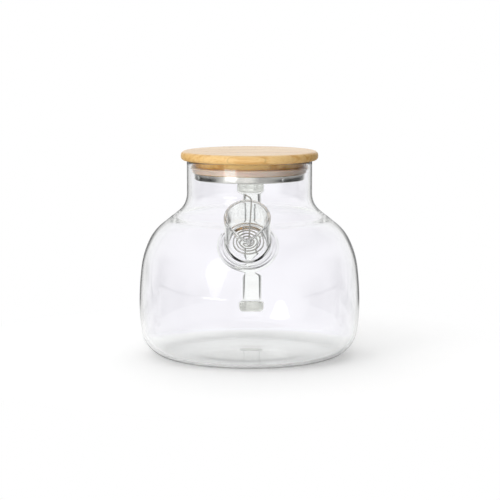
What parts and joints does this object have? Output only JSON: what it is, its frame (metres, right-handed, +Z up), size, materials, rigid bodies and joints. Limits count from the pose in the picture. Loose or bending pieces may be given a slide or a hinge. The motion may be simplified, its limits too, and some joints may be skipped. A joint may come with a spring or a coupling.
{
  "type": "glass dispenser jug with bamboo lid",
  "caption": "Round blown glass jug with a short pouring spout, wire strainer, solid glass handle and a bamboo lid with seal.",
  "frame": {"origin": "centre of the flat base, on the axis of the jug", "axes": "+Z up along the jug axis, the spout points to -Y and the handle is on +Y, +X to the right seen from the spout"},
  "size_m": [0.145, 0.2043, 0.135],
  "materials": {
    "clear_glass": "clear, fire polished borosilicate",
    "steel_wire": "drawn stainless wire",
    "bamboo_board": "sanded bamboo, oiled",
    "bamboo_plug": "turned bamboo, darker",
    "silicone": "milky translucent",
    "brushed_steel": "brushed round the band",
    "pin_steel": "polished"
  },
  "bodies": {
    "jug": {"glass_body": "clear_glass", "spout_tube": "clear_glass", "spout_weld": "clear_glass", "handle_bar": "clear_glass", "handle_upper_weld": "clear_glass", "handle_lower_weld": "clear_glass"},
    "strainer": {"strainer_coil": "steel_wire", "strainer_stem": "steel_wire"},
    "lid": {"lid_disc": "bamboo_board", "lid_plug": "bamboo_plug", "seal_ring": "silicone", "steel_cup": "brushed_steel", "cup_pins": "pin_steel"}
  },
  "joints": [
    {"name": "lid_lift", "type": "slide", "parent": "jug", "child": "lid", "axis": [0, 0, 1], "range_m": [0, 0.06]},
    {"name": "strainer_pull", "type": "slide", "parent": "jug", "child": "strainer", "axis": [0, -0.7071, 0.7071], "range_m": [0, 0.045]}
  ]
}
